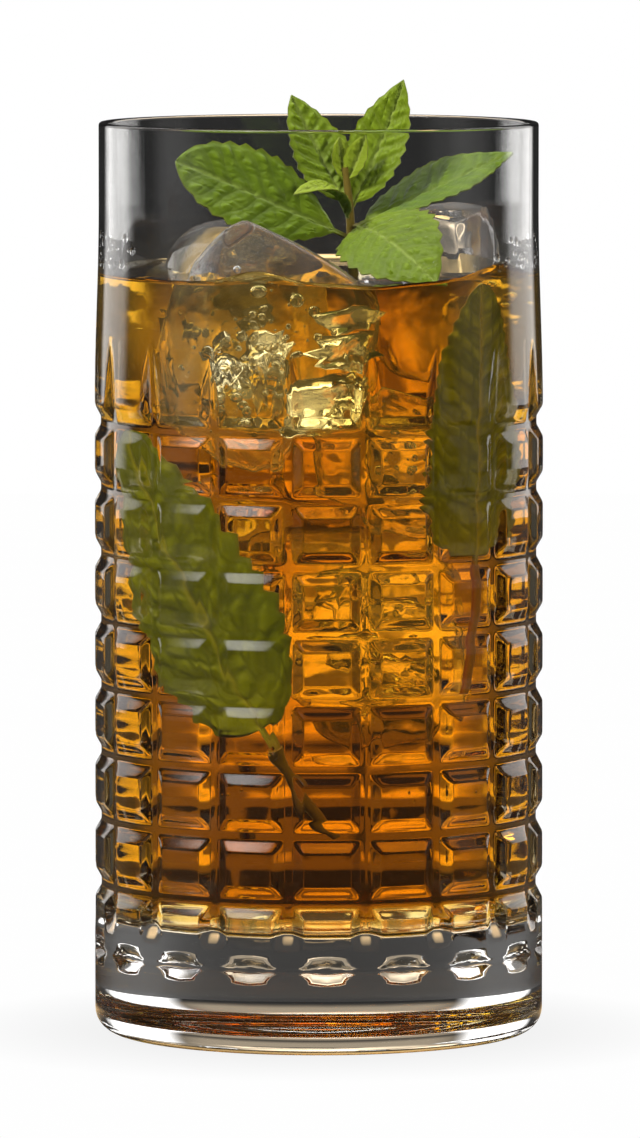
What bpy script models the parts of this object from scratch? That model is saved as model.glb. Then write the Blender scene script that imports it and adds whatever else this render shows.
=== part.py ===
"""Tall pressed glass of amber mojito, with ice and a sprig of mint.

Metres, +Z up. The origin is the centre of the glass's foot on the table, and
the photographed side faces -Y. Each object is one real piece.
"""

import math
import random
from collections import namedtuple

import bmesh
import bpy
from mathutils import Euler, Vector

# Glass, outside
GLASS_HEIGHT = 0.1520
RIM_RADIUS = 0.0366
GRID_RADIUS = 0.0374
SWELL_TOP = 0.1380  # the plain wall widens from here down to the grid
LIP_WALL = 0.0011
FOOT_FILLET = 0.0040
FOOT_FILLET_STEPS = 4

# Grid of square facets pressed into the wall
COLUMNS = 18
ROWS = 8
ROW_PITCH = 0.01102
TOP_GROOVE_Z = 0.1024
GROOVE_DEPTH = 0.0011
GROOVE_HALF = 0.00075
BEVEL_WIDTH = 0.0019
GRID_TURN = math.radians(2.1)  # the photographed facet stands a little right of -Y
FADE_TOP = 0.1165  # the upright grooves run out into the plain wall here
FADE_FULL = TOP_GROOVE_Z + GROOVE_HALF + BEVEL_WIDTH
FOOT_GROOVE_Z = TOP_GROOVE_Z - ROWS * ROW_PITCH
FOOT_FADE_FULL = FOOT_GROOVE_Z - GROOVE_HALF
FOOT_FADE_END = FOOT_GROOVE_Z - 0.0050  # and into the plain foot here
RUN_OUT_WIDTH = 0.3  # share of its width that an upright groove keeps where it runs out
PLAIN_SHARES = (-0.75, -0.25, 0.25, 0.75)  # places across half a column where the wall is plain

# Glass, inside
FLOOR_Z = 0.0190
FLOOR_FILLET = 0.0050
FLOOR_FILLET_STEPS = 3
INNER_TOP_RADIUS = RIM_RADIUS - LIP_WALL
INNER_FLOOR_RADIUS = 0.0334

# Contents
LEVEL = 0.1270
FIT_GAP = 0.0003
DRINK_SIDES = 36
ICE_GRID = 5  # quads along each side of an ice block
ICE_SHARPNESS = 9.0
ICE_CHAMFERS = 7
ICE_SLANT = 0.16  # how far a side leans from square
ICE_CHAMFER_REACH = (0.66, 0.80)  # how close a chamfer comes, as a share of its corner's distance
ICE_WALL_GAP = 0.0012  # ice melts back from the wall by at least this

# name: centre, half sizes, turn in degrees, seed
ICE_BLOCKS = {
    "ice_front_left": ((-0.0088, -0.0166, 0.1144), (0.0152, 0.0104, 0.0178), (-3, 20, 4), 22),
    "ice_back_right": ((0.0202, 0.0146, 0.1206), (0.0110, 0.0110, 0.0162), (-6, 8, -20), 8),
    "ice_back_left": ((-0.0138, 0.0158, 0.1172), (0.0150, 0.0112, 0.0158), (5, 10, 24), 5),
}

# Mint sprig
LEAF_THICKNESS = 0.0005
LEAF_ACROSS = (-1.0, -0.5, 0.0, 0.5, 1.0)  # lines along the leaf, edge to edge
STEM_RADIUS = 0.0010
STEM_SIDES = 8
STEM_TAPER = 0.45
STEM_POINTS = (
    (0.0068, 0.0022, 0.1180),
    (0.0058, 0.0014, 0.1260),
    (0.0054, 0.0008, 0.1330),
    (0.0050, 0.0014, 0.1390),
    (0.0044, 0.0020, 0.1440),
)
PETIOLE_HALF = 0.0005
PETIOLE_SHARE = 0.08
LEAF_FULLNESS = 1.6  # larger is more pointed at both ends
TOOTH_DEPTH = 0.11
TOOTH_NOTCH = 0.12  # where along a tooth its notch is
TOOTH_PEAK = 0.78  # where along a tooth its point is
LAST_TOOTH = 0.6  # length of the plain tip, in teeth
LEAF_WAVE = 0.06  # height of the edge's waves as a share of the half-width
LEAF_WAVES = 9.0

Leaf = namedtuple("Leaf", "base tip look width widest bow fold teeth")

# base, tip, the way the upper face looks, width, where it is widest, bow, fold, teeth a side
LEAVES = {
    "left": Leaf(
        (0.0050, 0.0006, 0.1322), (-0.0236, -0.0080, 0.1456), (0.30, -0.80, 0.52),
        0.0156, 0.56, 0.0004, 0.10, 10,
    ),
    "right": Leaf(
        (0.0056, 0.0012, 0.1338), (0.0326, 0.0050, 0.1463), (-0.30, -0.42, 0.86),
        0.0128, 0.46, 0.0002, 0.16, 10,
    ),
    "front": Leaf(
        (0.0060, 0.0004, 0.1344), (0.0192, -0.0205, 0.1258), (-0.31, -0.50, 0.81),
        0.0162, 0.42, 0.0026, 0.06, 9,
    ),
    "upper_left": Leaf(
        (0.0052, 0.0012, 0.1370), (-0.0046, 0.0060, 0.1562), (0.45, -0.86, 0.25),
        0.0100, 0.42, -0.0008, 0.20, 9,
    ),
    "upper_right": Leaf(
        (0.0050, 0.0012, 0.1365), (0.0142, 0.0050, 0.1588), (-0.35, -0.92, 0.15),
        0.0096, 0.42, -0.0016, 0.30, 9,
    ),
    "curled": Leaf(
        (0.0050, 0.0012, 0.1345), (-0.0042, -0.0078, 0.1400), (-0.25, -0.50, 0.82),
        0.0056, 0.45, 0.0036, 0.22, 6,
    ),
    "bud_left": Leaf(
        (0.0046, 0.0018, 0.1415), (0.0034, 0.0030, 0.1490), (0.40, -0.90, 0.10),
        0.0040, 0.45, -0.0006, 0.45, 4,
    ),
    "bud_right": Leaf(
        (0.0046, 0.0018, 0.1415), (0.0078, 0.0010, 0.1494), (-0.50, -0.85, 0.10),
        0.0040, 0.45, -0.0006, 0.45, 4,
    ),
}


def clear_scene():
    for obj in list(bpy.data.objects):
        bpy.data.objects.remove(obj)


def smooth(x):
    x = min(max(x, 0.0), 1.0)
    return x * x * (3 - 2 * x)


def material(name, colour, roughness, metallic=0.0, clear=0.0):
    made = bpy.data.materials.new(name)
    made.use_nodes = True
    shader = made.node_tree.nodes["Principled BSDF"]
    shader.inputs["Base Color"].default_value = (*colour, 1.0)
    shader.inputs["Roughness"].default_value = roughness
    shader.inputs["Metallic"].default_value = metallic
    shader.inputs["Transmission Weight"].default_value = clear
    return made


def add_object(name, mesh, surface):
    obj = bpy.data.objects.new(name, mesh)
    bpy.context.scene.collection.objects.link(obj)
    mesh.materials.append(surface)
    return obj


def mesh_from(name, points, faces):
    mesh = bpy.data.meshes.new(name)
    mesh.from_pydata([tuple(p) for p in points], [], faces)
    mesh.validate()
    return mesh


def outer_radius(z):
    """Radius of the wall between its grooves."""
    swell = smooth((SWELL_TOP - z) / (SWELL_TOP - TOP_GROOVE_Z))
    return RIM_RADIUS + (GRID_RADIUS - RIM_RADIUS) * swell


def inner_radius(z):
    share = (z - FLOOR_Z) / (GLASS_HEIGHT - FLOOR_Z)
    return INNER_FLOOR_RADIUS + (INNER_TOP_RADIUS - INNER_FLOOR_RADIUS) * share


def upright_groove(z):
    """Share of the full depth that the upright grooves have at height z."""
    above = (FADE_TOP - z) / (FADE_TOP - FADE_FULL)
    below = (z - FOOT_FADE_END) / (FOOT_FADE_FULL - FOOT_FADE_END)
    return min(max(min(above, below), 0.0), 1.0)


def facet_levels():
    """(height, is it on the facets' flat tops) from the first groove to the last."""
    levels = []
    for row in range(ROWS + 1):
        groove = TOP_GROOVE_Z - row * ROW_PITCH
        levels.append((groove + GROOVE_HALF, False))
        levels.append((groove - GROOVE_HALF, False))
        if row < ROWS:
            levels.append((groove - GROOVE_HALF - BEVEL_WIDTH, True))
            levels.append((groove - ROW_PITCH + GROOVE_HALF + BEVEL_WIDTH, True))
    return levels


def outer_levels():
    """Heights of the outside wall from the rim down, with what each ring is."""
    lip = LIP_WALL / 2
    levels = [(GLASS_HEIGHT - lip, True), (SWELL_TOP, True), ((SWELL_TOP + FADE_TOP) / 2, True)]
    levels += [(FADE_TOP, True), (FADE_FULL, True)]
    levels += facet_levels()
    levels += [(FOOT_GROOVE_Z - GROOVE_HALF - BEVEL_WIDTH, True), (FOOT_FADE_END, True)]
    return levels


def column_angles(groove):
    """Four angles of one facet from its middle: groove edge and flat edge on each side."""
    half_column = math.pi / COLUMNS
    if groove <= 0:
        return [half_column * share for share in PLAIN_SHARES]
    spread = RUN_OUT_WIDTH + (1 - RUN_OUT_WIDTH) * groove
    edge = half_column - spread * GROOVE_HALF / GRID_RADIUS
    flat = half_column - spread * (GROOVE_HALF + BEVEL_WIDTH) / GRID_RADIUS
    return [-edge, -flat, flat, edge]


def wall_ring(z, on_flat):
    """One ring of the outside wall, as points."""
    groove = upright_groove(z)
    points = []
    for column in range(COLUMNS):
        middle = GRID_TURN + 2 * math.pi * column / COLUMNS
        for place, offset in enumerate(column_angles(groove)):
            radius = outer_radius(z)
            if not on_flat:
                radius -= GROOVE_DEPTH
            elif place in (0, 3):
                radius -= GROOVE_DEPTH * groove
            angle = middle + offset
            points.append((radius * math.sin(angle), -radius * math.cos(angle), z))
    return points


def plain_ring(radius, z):
    """A ring with the same number of points as wall_ring, evenly spaced."""
    count = len(PLAIN_SHARES) * COLUMNS
    start = GRID_TURN + PLAIN_SHARES[0] * math.pi / COLUMNS
    angles = [start + 2 * math.pi * i / count for i in range(count)]
    return [(radius * math.sin(a), -radius * math.cos(a), z) for a in angles]


def lip_rings():
    """The rounded lip, from inside to outside."""
    half = LIP_WALL / 2
    middle = RIM_RADIUS - half
    rings = []
    for degrees in (45, 90, 135):
        a = math.radians(degrees)
        rings.append(plain_ring(middle - half * math.cos(a), GLASS_HEIGHT - half + half * math.sin(a)))
    return rings


def inner_profile():
    """(radius, height) of the inside from the floor up to the lip."""
    fillet_top = inner_radius(FLOOR_Z + FLOOR_FILLET)
    profile = []
    for step in range(FLOOR_FILLET_STEPS + 1):
        a = math.radians(90 * step / FLOOR_FILLET_STEPS)
        radius = fillet_top - FLOOR_FILLET + FLOOR_FILLET * math.sin(a)
        profile.append((radius, FLOOR_Z + FLOOR_FILLET * (1 - math.cos(a))))
    for z in (LEVEL, GLASS_HEIGHT - LIP_WALL / 2):
        profile.append((inner_radius(z), z))
    return profile


def foot_rings():
    rings = []
    for step in range(FOOT_FILLET_STEPS + 1):
        a = math.radians(90 * step / FOOT_FILLET_STEPS)
        radius = GRID_RADIUS - FOOT_FILLET * (1 - math.cos(a))
        rings.append(plain_ring(radius, FOOT_FILLET * (1 - math.sin(a))))
    return rings


def skin_rings(rings):
    """Points and faces of a closed skin through rings of equal count, first to last.

    A quad that leads from a groove's crossing up to a flat's corner is split along
    that diagonal, so that each facet has mitred bevels. The first and the last ring
    are closed by flat faces.
    """
    count = len(rings[0])
    points = [p for ring in rings for p in ring]
    distance = [math.hypot(p[0], p[1]) for p in points]
    faces = []
    for i in range(len(rings) - 1):
        for j in range(count):
            a, b = i * count + j, i * count + (j + 1) % count
            c, d = b + count, a + count
            if abs(distance[a] - distance[c]) > abs(distance[b] - distance[d]):
                faces += [(a, b, c), (a, c, d)]
            else:
                faces += [(a, b, d), (b, c, d)]
    faces.append(tuple(reversed(range(count))))
    last = (len(rings) - 1) * count
    faces.append(tuple(range(last, last + count)))
    return points, faces


def face_outwards(mesh):
    work = bmesh.new()
    work.from_mesh(mesh)
    bmesh.ops.recalc_face_normals(work, faces=work.faces)
    work.to_mesh(mesh)
    work.free()


def make_glass(surface):
    """The tumbler in one piece: floor, inside wall, lip, faceted outside and foot."""
    rings = [plain_ring(radius, z) for radius, z in inner_profile()]
    rings += lip_rings()
    rings += [wall_ring(z, on_flat) for z, on_flat in outer_levels()]
    rings += foot_rings()
    mesh = mesh_from("glass", *skin_rings(rings))
    face_outwards(mesh)
    return add_object("glass", mesh, surface)


def ice_planes(half_sizes, seed):
    """Flat sides of a half-melted block, as (direction, distance from the middle)."""
    draw = random.Random(seed)
    planes = []
    for axis in range(3):
        for sign in (-1, 1):
            normal = Vector([draw.uniform(-ICE_SLANT, ICE_SLANT) for _ in range(3)])
            normal[axis] = sign
            planes.append((normal.normalized(), half_sizes[axis]))
    for _ in range(ICE_CHAMFERS):
        normal = Vector([draw.choice((-1, 1)) * draw.uniform(0.35, 1.0) for _ in range(3)])
        normal.normalize()
        reach = sum(abs(n) * h for n, h in zip(normal, half_sizes))
        planes.append((normal, reach * draw.uniform(*ICE_CHAMFER_REACH)))
    return planes


def ice_radius(direction, planes):
    """Distance from the middle to the rounded block's surface along a direction."""
    total = sum(max(direction.dot(n), 0.0) ** ICE_SHARPNESS / d**ICE_SHARPNESS for n, d in planes)
    return total ** (-1 / ICE_SHARPNESS)


def inside_wall(point, gap):
    """The point, drawn in towards the axis where it comes closer than gap to the wall."""
    room = inner_radius(point.z) - gap
    pull = min(1.0, room / math.hypot(point.x, point.y))
    return Vector((point.x * pull, point.y * pull, point.z))


def make_ice(name, block, surface, grow=0.0):
    """One half-melted block; grow makes it that much larger all round, as a cutter."""
    centre, half_sizes, turn, seed = block
    planes = ice_planes(half_sizes, seed)
    work = bmesh.new()
    bmesh.ops.create_cube(work, size=2.0)
    bmesh.ops.subdivide_edges(work, edges=work.edges, cuts=ICE_GRID - 1, use_grid_fill=True)
    rotation = Euler([math.radians(a) for a in turn]).to_matrix()
    for vertex in work.verts:
        bulged = Vector([math.tan(c * math.pi / 4) for c in vertex.co])
        direction = Vector([b * h for b, h in zip(bulged, half_sizes)]).normalized()
        place = Vector(centre) + rotation @ (direction * (ice_radius(direction, planes) + grow))
        vertex.co = inside_wall(place, ICE_WALL_GAP - grow)
    bmesh.ops.triangulate(work, faces=work.faces)
    mesh = bpy.data.meshes.new(name)
    work.to_mesh(mesh)
    work.free()
    return add_object(name, mesh, surface)


def leaf_profile(share, widest):
    """Half-width of a mint leaf along its length, 1 where it is widest."""
    if share <= PETIOLE_SHARE or share >= 1:
        return 0.0
    x = (share - PETIOLE_SHARE) / (1 - PETIOLE_SHARE)
    rising = (x / widest) ** (LEAF_FULLNESS * widest)
    falling = ((1 - x) / (1 - widest)) ** (LEAF_FULLNESS * (1 - widest))
    return rising * falling


def leaf_rows(teeth):
    """(share of the length, tooth height) from stalk to tip: a notch and a point for each tooth."""
    rows = [(0.0, 0.0), (PETIOLE_SHARE, 0.0)]
    step = (1 - PETIOLE_SHARE) / (teeth + LAST_TOOTH)
    for tooth in range(teeth):
        start = PETIOLE_SHARE + tooth * step
        rows.append((start + TOOTH_NOTCH * step, 0.0))
        rows.append((start + TOOTH_PEAK * step, 1.0))
    rows.append((1.0, 0.0))
    return rows


def leaf_point(leaf, share, across, lift, grow=0.0, tooth=0.0):
    """A point of the leaf: share along the midrib, across from -1 to 1, lift along the normal."""
    base = Vector(leaf.base)
    along = Vector(leaf.tip) - base
    side = Vector(leaf.look).cross(along).normalized()
    normal = along.cross(side).normalized()
    middle = base + along * share + normal * leaf.bow * 4 * share * (1 - share)
    half = max(leaf.width / 2 * leaf_profile(share, leaf.widest), PETIOLE_HALF * (1 - share))
    half = half * (1 + TOOTH_DEPTH * tooth) + grow
    rise = leaf.fold * half * abs(across) ** 1.3
    wave = LEAF_WAVE * half * math.sin(LEAF_WAVES * share + 2 * across) * across * across
    return middle + side * (across * half) + normal * (rise + wave + lift)


def make_leaf(name, leaf, surface, grow=0.0):
    """A thin closed leaf, both faces split alike. grow thickens and widens it, as a cutter."""
    rows = leaf_rows(leaf.teeth)
    length = (Vector(leaf.tip) - Vector(leaf.base)).length
    wide = len(LEAF_ACROSS)
    points = []
    for lift in (-LEAF_THICKNESS / 2 - grow, LEAF_THICKNESS / 2 + grow):
        for share, tooth in rows:
            end = grow / length if share == 1.0 else 0.0
            for across in LEAF_ACROSS:
                points.append(leaf_point(leaf, share + end, across, lift, grow, tooth))
    top = wide * len(rows)
    faces = []
    for i in range(len(rows) - 1):
        for j in range(wide - 1):
            a = i * wide + j
            b, c, d = a + 1, a + wide + 1, a + wide
            faces += [(a, b, c), (a, c, d)]
            faces += [(top + c, top + b, top + a), (top + d, top + c, top + a)]
    loop = [j for j in range(wide)]
    loop += [i * wide + wide - 1 for i in range(1, len(rows))]
    loop += [(len(rows) - 1) * wide + j for j in range(wide - 2, -1, -1)]
    loop += [i * wide for i in range(len(rows) - 2, 0, -1)]
    for a, b in zip(loop, loop[1:] + loop[:1]):
        faces += [(a, top + a, top + b), (a, top + b, b)]
    mesh = mesh_from(name, points, faces)
    face_outwards(mesh)
    return add_object(name, mesh, surface)


def make_stem(name, surface, grow=0.0):
    """The sprig's stem, a tapering tube from inside the drink to the youngest leaves."""
    rings = []
    last = len(STEM_POINTS) - 1
    for place, point in enumerate(STEM_POINTS):
        radius = STEM_RADIUS * (1 - STEM_TAPER * place / last) + grow
        drop = grow if place == 0 else 0.0
        angles = [2 * math.pi * i / STEM_SIDES for i in range(STEM_SIDES)]
        x, y, z = point
        rings.append([(x + radius * math.cos(a), y + radius * math.sin(a), z - drop) for a in angles])
    mesh = mesh_from(name, *skin_rings(rings))
    face_outwards(mesh)
    return add_object(name, mesh, surface)


def make_sprig(surface):
    """Stem and leaves grown together: one solid by a single union."""
    parts = bpy.data.collections.new("sprig_parts")
    bpy.context.scene.collection.children.link(parts)
    leaves = [make_leaf("leaf_" + name, leaf, surface) for name, leaf in LEAVES.items()]
    for obj in leaves:
        bpy.context.scene.collection.objects.unlink(obj)
        parts.objects.link(obj)
    sprig = make_stem("mint_sprig", surface)
    union = sprig.modifiers.new("union", "BOOLEAN")
    union.operation = "UNION"
    union.operand_type = "COLLECTION"
    union.collection = parts
    union.solver = "EXACT"
    union.use_self = True
    bpy.context.view_layer.update()
    graph = bpy.context.evaluated_depsgraph_get()
    joined = bpy.data.meshes.new_from_object(sprig.evaluated_get(graph))
    sprig.modifiers.clear()
    sprig.data = joined
    for obj in leaves:
        bpy.data.objects.remove(obj)
    bpy.data.collections.remove(parts)
    return sprig


def drink_rings():
    """The drink's outside, clear of the glass by the fitting gap."""
    rings = []
    for radius, z in inner_profile():
        if z < LEVEL:
            rings.append((radius - FIT_GAP, z + FIT_GAP))
    rings.append((inner_radius(LEVEL) - FIT_GAP, LEVEL))
    angles = [2 * math.pi * i / DRINK_SIDES for i in range(DRINK_SIDES)]
    return [[(r * math.sin(a), -r * math.cos(a), z) for a in angles] for r, z in rings]


def make_drink(surface, cutter_surface):
    """The drink up to its level, cut round the ice, the stem and the leaf that dips in."""
    mesh = mesh_from("drink", *skin_rings(drink_rings()))
    face_outwards(mesh)
    drink = add_object("drink", mesh, surface)
    cutters = [
        make_ice("cut_" + name, block, cutter_surface, FIT_GAP) for name, block in ICE_BLOCKS.items()
    ]
    cutters.append(make_stem("cut_stem", cutter_surface, FIT_GAP))
    cutters.append(make_leaf("cut_leaf", LEAVES["front"], cutter_surface, FIT_GAP))
    for cutter in cutters:
        cutter.hide_render = True
        cutter.display_type = "WIRE"
        cut = drink.modifiers.new("cut", "BOOLEAN")
        cut.operation = "DIFFERENCE"
        cut.object = cutter
        cut.solver = "EXACT"
    return drink


def shade(obj, sharp_degrees):
    obj.data.shade_smooth()
    obj.data.set_sharp_from_angle(angle=math.radians(sharp_degrees))


def main():
    clear_scene()
    glass = make_glass(material("clear_glass", (0.95, 0.96, 0.96), 0.02, clear=1.0))
    shade(glass, 20)
    ice_surface = material("ice", (0.93, 0.95, 0.97), 0.05, clear=0.9)
    for name, block in ICE_BLOCKS.items():
        shade(make_ice(name, block, ice_surface), 40)
    mint_surface = material("mint", (0.16, 0.36, 0.05), 0.5)
    make_sprig(mint_surface)
    make_drink(material("amber_drink", (0.72, 0.33, 0.05), 0.03, clear=0.9), mint_surface)


main()
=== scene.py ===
"""Looks of the iced mint cocktail: pressed glass, amber drink, melting ice and mint.

Metres, in the frame's own axes: +Z up, and the photographed side faces -Y.
"""

import math
import random
from collections import namedtuple

import bpy
import numpy as np
from mathutils import Euler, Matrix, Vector


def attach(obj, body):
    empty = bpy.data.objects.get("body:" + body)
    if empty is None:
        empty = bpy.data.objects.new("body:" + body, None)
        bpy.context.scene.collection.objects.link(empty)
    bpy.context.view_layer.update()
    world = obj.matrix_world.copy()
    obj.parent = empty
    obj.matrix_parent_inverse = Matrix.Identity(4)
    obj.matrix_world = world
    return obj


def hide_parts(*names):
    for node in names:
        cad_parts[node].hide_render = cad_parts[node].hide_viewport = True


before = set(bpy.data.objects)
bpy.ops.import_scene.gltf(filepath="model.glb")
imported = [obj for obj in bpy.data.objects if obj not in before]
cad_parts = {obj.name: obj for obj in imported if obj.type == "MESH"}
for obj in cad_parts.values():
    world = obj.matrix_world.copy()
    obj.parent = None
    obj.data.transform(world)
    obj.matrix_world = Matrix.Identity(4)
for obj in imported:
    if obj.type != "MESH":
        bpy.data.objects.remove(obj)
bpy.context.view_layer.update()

WHITE = (1, 1, 1, 1)

# Camera, which looks slightly down on the glass
CAMERA_PLACE = (0.0, -1.6515, 0.2142)
CAMERA_DIP = math.radians(4.737)
CAMERA_LENS = 314.07
CAMERA_SENSOR = 36.0
CAMERA_SHIFT = 0.00117

# Glass, outside
GLASS_HEIGHT = 0.1520
RIM_RADIUS = 0.0366
GRID_RADIUS = 0.0374
SWELL_TOP = 0.1380
LIP_WALL = 0.0011
# the wall has close rings at the lip, so that the lip does not bend its shading
LIP_MARGIN = 0.0006
LIP_STEP = 0.0001
AXIS_RADIUS = 0.002  # the innermost ring of a flat face
FOOT_FILLET = 0.0040
COLUMNS = 18
ROWS = 8
ROW_PITCH = 0.01102
TOP_GROOVE_Z = 0.1024
GROOVE_DEPTH = 0.0011
GROOVE_HALF = 0.00075
BEVEL_WIDTH = 0.0019
GRID_TURN = math.radians(2.1)
FADE_TOP = 0.1165
FADE_FULL = TOP_GROOVE_Z + GROOVE_HALF + BEVEL_WIDTH
# the outside's rings where the uprights fade out, on the plain wall and on the heel
FADE_STEP = 0.0008
PLAIN_Z = FADE_TOP + 0.0022
PLAIN_RINGS = 22
HEEL_STEP = 0.0006
HEEL_RINGS = 8
FOOT_GROOVE_Z = TOP_GROOVE_Z - ROWS * ROW_PITCH
RUN_OUT_WIDTH = 0.3
EDGE_SOFT = 0.00026  # half the width over which a bevel's edge is rounded
MITRE_SOFT = 0.0007
# the lowest groove is a row of separate ovals: its gap at an upright, and how far an end tapers
OVAL_GAP = 0.0009
OVAL_END = 0.0042
OVAL_SQUASH = 1.2
# the uprights run out above it
UPRIGHT_END = 0.0038
UPRIGHT_RUN_OUT = 0.0028
# distances from a groove's centre line where the wall has its points
GROOVE_LINES = (0.0, 0.0005, 0.00075, 0.00101, 0.0017, 0.00239, 0.00265, 0.00292, 0.0042)

# Glass, inside
FLOOR_Z = 0.0190
FLOOR_FILLET = 0.0050
INNER_WALL_Z = FLOOR_Z + FLOOR_FILLET + 0.0030
INNER_RINGS = 30
INNER_TOP_RADIUS = RIM_RADIUS - LIP_WALL
INNER_FLOOR_RADIUS = 0.0334

# Drink
LEVEL = 0.1270
WALL_OVERLAP = 0.0001  # the drink reaches this far into the glass, so that no air shows
DRINK_SIDES = 216
MENISCUS = 0.0011
MENISCUS_REACH = 0.0021
WAVE_REACH = 0.0075
DRINK_TINT = (1.0, 0.90, 0.66)
DRINK_ABSORB = ((0.914, 0.786, 0.150), 125.0)
# where the contact line on the wall leaves the level: degrees from -Y towards +X, width, rise
CONTACT_WAVES = ((-16.4, 9.0, 0.0019), (15.6, 9.0, -0.0006), (56.0, 13.0, 0.0024))
# the surface's rings, by distance from the wall
SURFACE_RINGS = (
    0, 0.0003, 0.0007, 0.0012, 0.0018, 0.0026, 0.0038, 0.0055, 0.008, 0.012, 0.018, 0.025, 0.032,
)
DRINK_CREASE = 45
# small bubbles near the wall: how many, angle from -Y, height, distance from the wall, radius
AIR_COUNT = 150
AIR_ANGLE = (-2.0, 2.0)
AIR_HEIGHT = (0.03, 0.122)
AIR_DEPTH = (0.0006, 0.003)
AIR_RADIUS = (0.00008, 0.00026)

# Ice
ICE_SHARPNESS = 9.0
ICE_CHAMFERS = 7
ICE_SLANT = 0.16
ICE_CHAMFER_REACH = (0.66, 0.80)
ICE_CELLS = 44  # mesh cells along a side of a block
SUNK_CELLS = 36
ICE_FACETS = 26
ICE_FACET_REACH = (0.87, 0.975)
ICE_SCOOP = 0.85  # how far a facet is cut in
ICE_WAVES = ((0.012, 5.0), (0.005, 14.0))  # depth as a share of the block, and fineness
ICE_WALL_GAP = 0.0012
ICE_OVERLAP = 0.00006
FACET_SHARPNESS = 48.0
ICE_CREASE = 50

MILK_COLOUR = (0.90, 0.88, 0.85, 1)
MILK_SCALE = 150.0

# name: centre, half sizes, turn in degrees, seed
ICE_BLOCKS = {
    "ice_front_left": ((-0.0088, -0.0166, 0.1144), (0.0152, 0.0104, 0.0178), (-3, 20, 4), 22),
    "ice_back_right": ((0.0202, 0.0146, 0.1206), (0.0110, 0.0110, 0.0162), (-6, 8, -20), 8),
    "ice_back_left": ((-0.0138, 0.0158, 0.1172), (0.0150, 0.0112, 0.0158), (5, 10, 24), 5),
}
SUNK_ICE = {
    "low": ((0.0070, -0.0060, 0.0680), (0.0130, 0.0130, 0.0190), (4, -8, 12), 31),
    "middle": ((0.0108, -0.0142, 0.0965), (0.0110, 0.0088, 0.0104), (10, 14, -25), 17),
    "deep": ((-0.0100, 0.0110, 0.0800), (0.0120, 0.0110, 0.0130), (18, 5, 40), 44),
}

# Mint
STEM_RADIUS = 0.0010
STEM_TAPER = 0.45
SUNK_STEM_RADIUS = 0.0009
SUNK_STEM_TAPER = 0.1
STEM_POINTS = (
    (0.0068, 0.0022, 0.1180),
    (0.0058, 0.0014, 0.1260),
    (0.0054, 0.0008, 0.1330),
    (0.0050, 0.0014, 0.1390),
    (0.0044, 0.0020, 0.1440),
)
PETIOLE_HALF = 0.0005
PETIOLE_SHARE = 0.08
LEAF_FULLNESS = (1.6, 1.6)  # towards the base and towards the tip
TOOTH_DEPTH = 0.11
TOOTH_NOTCH = 0.12
TOOTH_PEAK = 0.78
LAST_TOOTH = 0.6
LEAF_WAVE = 0.06
LEAF_WAVES = 9.0
LEAF_THICK = (0.00010, 0.00013)  # half the thickness at the edge, and what the middle has more
VEINS = 9.5
VEIN_LEAN = 0.62
VEIN_CURVE = 22
VEIN_HALF = 0.00012
RIB_HALF = 0.00042
RIB_DEPTH = 0.00036
DOME_HEIGHT = 0.00052
BLISTER_SIZE = 0.52
BLISTER_EDGE = 0.42
SMALL_LEAF = 0.012  # leaves shorter or narrower than this have fewer mesh rows
SUNK_GRID = (10, 81)

# yellow is 0 for an old leaf and 1 for a young one
Leaf = namedtuple("Leaf", "base tip look width widest bow fold teeth yellow")
LEAVES = {name: Leaf(*row) for name, *row in (
    ("left",
     (0.0050, 0.0006, 0.1322), (-0.0236, -0.0080, 0.1456), (0.30, -0.80, 0.52),
     0.0156, 0.56, 0.0004, 0.10, 10, 0.12),
    ("right",
     (0.0056, 0.0012, 0.1338), (0.0326, 0.0050, 0.1463), (-0.30, -0.42, 0.86),
     0.0128, 0.46, 0.0002, 0.16, 10, 0.05),
    ("front",
     (0.0060, 0.0004, 0.1344), (0.0192, -0.0205, 0.1258), (-0.31, -0.50, 0.81),
     0.0162, 0.42, 0.0026, 0.06, 9, 0.22),
    ("upper_left",
     (0.0052, 0.0012, 0.1370), (-0.0046, 0.0060, 0.1562), (0.45, -0.86, 0.25),
     0.0100, 0.42, -0.0008, 0.20, 9, 0.30),
    ("upper_right",
     (0.0050, 0.0012, 0.1365), (0.0142, 0.0050, 0.1588), (-0.35, -0.92, 0.15),
     0.0096, 0.42, -0.0016, 0.30, 9, 0.36),
    ("curled",
     (0.0050, 0.0012, 0.1345), (-0.0042, -0.0078, 0.1400), (-0.25, -0.50, 0.82),
     0.0056, 0.45, 0.0036, 0.22, 6, 0.75),
    ("bud_left",
     (0.0046, 0.0018, 0.1415), (0.0034, 0.0030, 0.1490), (0.40, -0.90, 0.10),
     0.0040, 0.45, -0.0006, 0.45, 4, 0.85),
    ("bud_right",
     (0.0046, 0.0018, 0.1415), (0.0078, 0.0010, 0.1494), (-0.50, -0.85, 0.10),
     0.0040, 0.45, -0.0006, 0.45, 4, 0.75),
)}

# colours that the leaf's material mixes. The first, the dark green of the troughs between the
# blisters, is painted shade
LEAF_TROUGH_SHADE = (0.020, 0.048, 0.001)
LEAF_DOME = (0.175, 0.275, 0.010)
LEAF_MOTTLE = (0.215, 0.315, 0.018)
LEAF_PATCH = (0.070, 0.150, 0.010)
LEAF_YOUNG = (0.330, 0.420, 0.025)
VEIN_OLD = (0.270, 0.360, 0.080)
VEIN_YOUNG = (0.420, 0.470, 0.110)
LEAF_UNDER = (0.240, 0.330, 0.130)
LEAF_RIM = (0.180, 0.120, 0.020)
STEM_BROWN = (0.180, 0.070, 0.025)
LEAF_GLOW = (0.36, 0.50, 0.015)
GLOW_SHARE = 0.28
LEAF_CREASE = 75
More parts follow.
